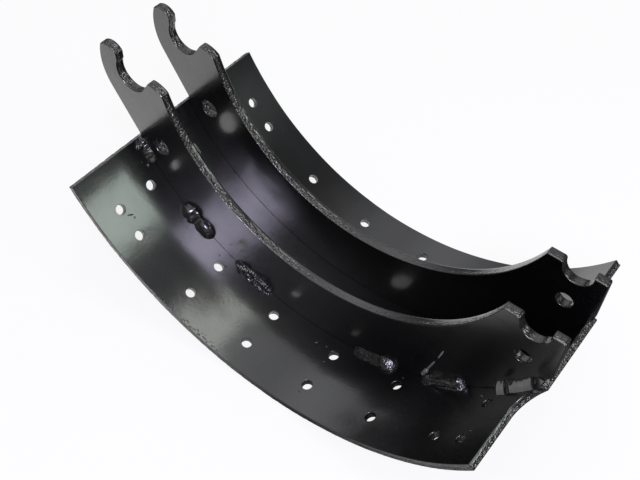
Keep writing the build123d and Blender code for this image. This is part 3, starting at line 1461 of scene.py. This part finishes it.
@dataclass(frozen=True)
class SoftBox:
    """A rectangular studio lamp behind a diffuser, with its brightness as a surface."""

    name: str
    centre: Point
    target: Point
    width: float
    height: float
    brightness: float
    tint: str = "#ffffff"

    def build(self) -> None:
        """Hang the lamp, with the power that gives its surface the stated brightness."""
        lamp = bpy.data.lights.new(self.name, "AREA")
        lamp.shape = "RECTANGLE"
        lamp.size, lamp.size_y = self.width, self.height
        lamp.energy = self.brightness * np.pi * self.width * self.height
        lamp.color = linear_colour(self.tint)[:3]
        holder = bpy.data.objects.new(self.name, lamp)
        heading = Vector(self.target) - Vector(self.centre)
        turn = heading.to_track_quat("-Z", "Y").to_matrix().to_4x4()
        holder.matrix_world = Matrix.Translation(self.centre) @ turn
        bpy.context.scene.collection.objects.link(holder)


@dataclass
class Studio:
    """A pale floor, with painted light and shade in its reflections, a pale room, soft lamps
    and the camera.

    Places on the floor are (x, y). Each pair of limits says where a change starts and ends. Each
    part of the room is a bearing, a rise and a reach in degrees, and its share of the brightness.
    """

    floor_reach: float = 6.0
    floor_colour: str = "#e6e6e6"
    # painted shade: reflections see the floor in this darker grey
    reflected_floor_colour: str = "#444444"
    floor_roughness: float = 0.6
    # painted reflection: a spot of floor that glows only in reflections, standing in for lit floor
    # behind the anchor end
    painted_glow_spot: Pair = (-0.15, 0.15)
    painted_glow_limits: Pair = (0.43, 0.27)
    # painted shadow: the edge where the glow strip starts, a painted shadow of the shoe on the
    # floor, seen only in reflections
    shade_limits: Pair = (-0.091, -0.104)
    shade_bend: float = 0.69
    front_limits: Pair = (-0.30, -0.17)
    front_share: float = 0.7
    middle: Pair = (0.15, 0.0)
    pale_limits: Pair = (0.4, 1.3)
    near_paleness: float = 0.84
    room_tint: str = "#fafbff"
    ceiling_strength: float = 1.1
    ceiling_power: float = 1.5
    wall_strength: float = 0.05
    room_parts: tuple[Quad, ...] = (
        (32.0, 48.0, 34.0, 0.15),
        (-125.0, 22.0, 48.0, 0.15),
        (0.0, 90.0, 22.0, 0.35),
        (-62.0, 27.0, 34.0, 2.0),
        (-124.0, 11.0, 9.0, 16.0),
    )
    lens: float = 50.37
    sensor: float = 36.0
    clip: Pair = (0.01, 50.0)
    eye: Point = (0.35843, -0.30872, 0.38188)
    right: Point = (0.79032, 0.61209, 0.02715)
    up: Point = (-0.48940, 0.60401, 0.62902)
    lamps: tuple[SoftBox, ...] = (
        SoftBox("key_softbox", (0.672, -0.622, 0.948), SHOE_MIDDLE, 0.38, 0.38, 26.0, "#e9e2ff"),
        SoftBox("overhead_softbox", (0.28, 0.27, 1.1), (0.22, 0.1, 0.0), 0.46, 0.4, 3.9, "#fbfff6"),
        SoftBox("cam_side_softbox", (1.22, 0.40, 0.62), SHOE_MIDDLE, 0.46, 0.52, 4.8, "#f0fff5"),
    )

    def build(self) -> None:
        """Lay the floor, light the room and place the camera."""
        self.lay_floor()
        self.light_room()
        for lamp in self.lamps:
            lamp.build()
        self.place_camera()

    def floor_finish(self, level: float) -> Material:
        """Make the floor's finish.

        To the camera the floor is partly bright by itself, which keeps it pale and leaves the
        shoe's shadow on it, and it is fully bright far away, where it meets the white room.
        In reflections it shows painted light: a painted glow spot behind the anchor end and a
        painted glow strip in front of the shoe stand in for lit floor. The strip starts at a
        painted shadow edge, which bends away from the shoe with the square of the distance from its
        middle, as the rim rises. The rest is a darker grey, which is painted shade.

        Args:
            level: Height of the floor.

        Returns:
            The material, which reads Object coordinates.
        """
        material, add, place = new_finish("pale_studio_floor")
        path = add("ShaderNodeLightPath", {}).outputs
        from_painted_glow_spot, from_middle = (
            add(
                "ShaderNodeVectorMath", {0: place, 1: (*spot, level)}, operation="DISTANCE"
            ).outputs["Value"]
            for spot in (self.painted_glow_spot, self.middle)
        )
        across = add("ShaderNodeSeparateXYZ", {0: place}).outputs
        along = add("ShaderNodeMath", {0: across["X"], 1: AXIS.x}, operation="SUBTRACT")
        square = add(
            "ShaderNodeMath", {0: along.outputs[0], 1: along.outputs[0]}, operation="MULTIPLY"
        )
        # painted shadow edge, which bends away from the shoe with the square of the distance from
        # its middle
        bent = add(
            "ShaderNodeMath",
            {0: square.outputs[0], 1: self.shade_bend, 2: across["Y"]},
            operation="MULTIPLY_ADD",
        )
        # masks of the painted glow spot, the painted glow strip and its front edge, and the
        # camera's paleness
        painted_glow_spot, painted_glow_strip, front, paleness = (
            add(
                "ShaderNodeMapRange",
                dict(zip(LIMITS, (value, first, last, low, high))),
                interpolation_type="SMOOTHSTEP",
            ).outputs[0]
            for value, (first, last), low, high in (
                (from_painted_glow_spot, self.painted_glow_limits, 0.0, 1.0),
                (bent.outputs[0], self.shade_limits, 0.0, self.front_share),
                (across["Y"], self.front_limits, 0.0, 1.0),
                (from_middle, self.pale_limits, self.near_paleness, 1.0),
            )
        )
        bright = add(
            "ShaderNodeMath",
            {0: painted_glow_strip, 1: front, 2: painted_glow_spot},
            operation="MULTIPLY_ADD",
            use_clamp=True,
        )
        # the painted glow spot and strip show only to glossy rays, as painted reflections
        shown = add(
            "ShaderNodeMath", {0: path["Is Glossy Ray"], 1: bright.outputs[0]}, operation="MULTIPLY"
        )
        share = add(
            "ShaderNodeMath",
            {0: path["Is Camera Ray"], 1: paleness, 2: shown.outputs[0]},
            operation="MULTIPLY_ADD",
        )
        # painted shade: glossy rays see the darker floor colour
        colour = add(
            "ShaderNodeMix",
            {
                "Factor": path["Is Glossy Ray"],
                "A": linear_colour(self.floor_colour),
                "B": linear_colour(self.reflected_floor_colour),
            },
            data_type="RGBA",
        )
        matt = add(
            "ShaderNodeBsdfDiffuse",
            {"Color": colour.outputs["Result"], "Roughness": self.floor_roughness},
        )
        glow = add("ShaderNodeEmission", {"Color": WHITE, "Strength": 1.0})
        mixed = add(
            "ShaderNodeMixShader",
            {0: share.outputs[0], 1: matt.outputs["BSDF"], 2: glow.outputs["Emission"]},
        )
        add("ShaderNodeOutputMaterial", {"Surface": mixed.outputs["Shader"]})
        return material

    def lay_floor(self) -> None:
        """Lay a level floor that touches the shoe's back."""
        reach, level = self.floor_reach, float(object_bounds()[0][2])
        corners = np.array(((-reach, -reach), (reach, -reach), (reach, reach), (-reach, reach)))
        mesh = bpy.data.meshes.new("floor")
        mesh.from_pydata(np.column_stack((corners, np.full(4, level))).tolist(), [], [(0, 1, 2, 3)])
        floor = bpy.data.objects.new("floor", mesh)
        bpy.context.scene.collection.objects.link(floor)
        mesh.materials.append(self.floor_finish(level))
        floor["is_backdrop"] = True

    def light_room(self) -> None:
        """Light the room from a pale ceiling, and make it plain white where the camera sees it.

        The walls' brightness grows with a power of the height that a ray points to, and each
        part of the room multiplies it by its own share.
        """
        world = bpy.data.worlds.new("room")
        add = clear_tree(world)
        path = add("ShaderNodeLightPath", {}).outputs
        heading = add("ShaderNodeTexCoord", {}).outputs["Generated"]
        height = add("ShaderNodeSeparateXYZ", {0: heading}).outputs["Z"]
        rise = add("ShaderNodeMath", {0: height, 1: 0.0}, operation="MAXIMUM")
        curve = add(
            "ShaderNodeMath", {0: rise.outputs[0], 1: self.ceiling_power}, operation="POWER"
        )
        strength = add(
            "ShaderNodeMath",
            {0: curve.outputs[0], 1: self.ceiling_strength, 2: self.wall_strength},
            operation="MULTIPLY_ADD",
        ).outputs[0]
        for bearing, high, reach, share in self.room_parts:
            nearness = add(
                "ShaderNodeVectorMath",
                {0: heading, 1: tuple(towards(bearing, high))},
                operation="DOT_PRODUCT",
            ).outputs["Value"]
            limit = float(np.cos(np.radians(reach)))
            part = add(
                "ShaderNodeMapRange",
                {"Value": nearness, "From Min": limit, "To Min": 1.0, "To Max": share},
                interpolation_type="SMOOTHSTEP",
            )
            strength = add(
                "ShaderNodeMath", {0: strength, 1: part.outputs[0]}, operation="MULTIPLY"
            ).outputs[0]
        walls, white = (
            add("ShaderNodeBackground", {"Color": colour, "Strength": bright}).outputs[0]
            for colour, bright in ((linear_colour(self.room_tint), strength), (WHITE, 1.0))
        )
        mixed = add("ShaderNodeMixShader", {0: path["Is Camera Ray"], 1: walls, 2: white})
        add("ShaderNodeOutputWorld", {"Surface": mixed.outputs["Shader"]})
        bpy.context.scene.world = world

    def place_camera(self) -> None:
        """Set the camera from its place, its right and its up, with a plain upright frame."""
        lens = bpy.data.cameras.new("camera")
        lens.lens, lens.sensor_width, lens.sensor_fit = self.lens, self.sensor, "HORIZONTAL"
        lens.clip_start, lens.clip_end = self.clip
        camera = bpy.data.objects.new("camera", lens)
        right, up = Vector(self.right).normalized(), Vector(self.up)
        up = (up - right * up.dot(right)).normalized()
        back = right.cross(up)
        turn = Matrix((right, up, back)).transposed().to_4x4()
        camera.matrix_world = Matrix.Translation(self.eye) @ turn
        bpy.context.scene.collection.objects.link(camera)
        bpy.context.scene.camera = camera


def main() -> None:
    """Build every piece of the shoe, log each piece's vertex count, then build the studio."""
    logging.basicConfig(level=logging.INFO, format="%(message)s")
    bpy.context.scene.view_settings.view_transform = "Standard"
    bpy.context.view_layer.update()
    enamel, weld_enamel = DippedEnamel().build(), EnamelOnWeld().build()

    table = Table()
    pieces = table.build(enamel)
    for side in Side:
        web = Web(side, table.inner_radius)
        pieces += web.build(enamel)
        for number, passes in enumerate(STITCHES, start=1):
            weld = StitchWeld(side, number, passes, table.inner_radius, web.outer_face)
            pieces += weld.build(weld_enamel)
    front = Web(Side.FRONT, table.inner_radius)
    pieces += Spatter(table, front.outer_face).build(weld_enamel, BurntWire().build())
    for piece in pieces:
        log.info("%s: %d vertices", piece.name, len(piece.data.vertices))
    Studio().build()


if __name__ == "__main__":
    main()
